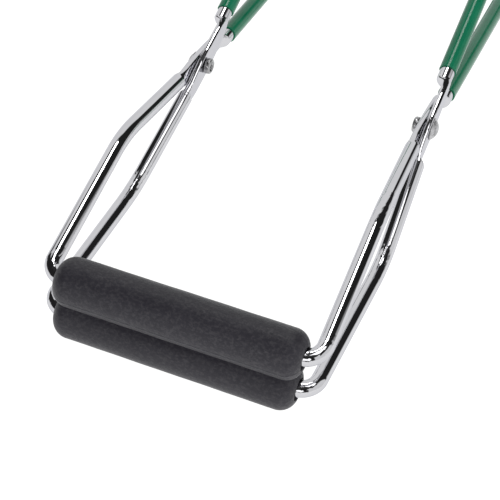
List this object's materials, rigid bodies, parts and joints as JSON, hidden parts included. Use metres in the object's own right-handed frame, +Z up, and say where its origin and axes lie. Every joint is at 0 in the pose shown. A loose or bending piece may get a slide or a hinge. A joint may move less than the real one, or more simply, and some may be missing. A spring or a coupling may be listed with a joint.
{
  "type": "jar lifter tongs",
  "caption": "Crossed wire tongs for lifting hot jars: chromed frames riveted at both sides, dark roller grips, and curved jaws in green dipped sleeves that close round a jar's neck.",
  "frame": {"origin": "centre of the footprint, on the surface that the closed tongs lie on", "axes": "+Y along the tongs from the grips to the jaws, +X across from arm to arm, +Z up"},
  "size_m": [0.0994, 0.2486, 0.0773],
  "materials": {
    "chrome_wire": "bright chrome plate on drawn steel wire, with a tool mark at each bend",
    "grip_plastic": "satin charcoal moulded plastic, faintly mottled",
    "jaw_vinyl": "glossy deep green dipped vinyl",
    "rivet_steel": "dull grey plated steel"
  },
  "bodies": {
    "bottom_frame": {"bottom_handle_wire": "chrome_wire", "upper_jaw_sleeve": "jaw_vinyl", "right_rivet": "rivet_steel"},
    "top_frame": {"top_handle_wire": "chrome_wire", "lower_jaw_sleeve": "jaw_vinyl", "left_rivet": "rivet_steel"},
    "top_grip": {"top_handle_grip": "grip_plastic"},
    "bottom_grip": {"bottom_handle_grip": "grip_plastic"}
  },
  "joints": [
    {"name": "frame_hinge", "type": "hinge", "parent": "bottom_frame", "child": "top_frame", "pos_m": [0, 0.00123, 0.02763], "axis": [-1, 0, 0], "range_deg": [0, 90]},
    {"name": "top_grip_roll", "type": "hinge", "parent": "top_frame", "child": "top_grip", "pos_m": [0.0008, -0.11604, 0.02498], "axis": [1, 0, 0], "continuous": true},
    {"name": "bottom_grip_roll", "type": "hinge", "parent": "bottom_frame", "child": "bottom_grip", "pos_m": [-0.0008, -0.11445, 0.00825], "axis": [1, 0, 0], "continuous": true}
  ]
}
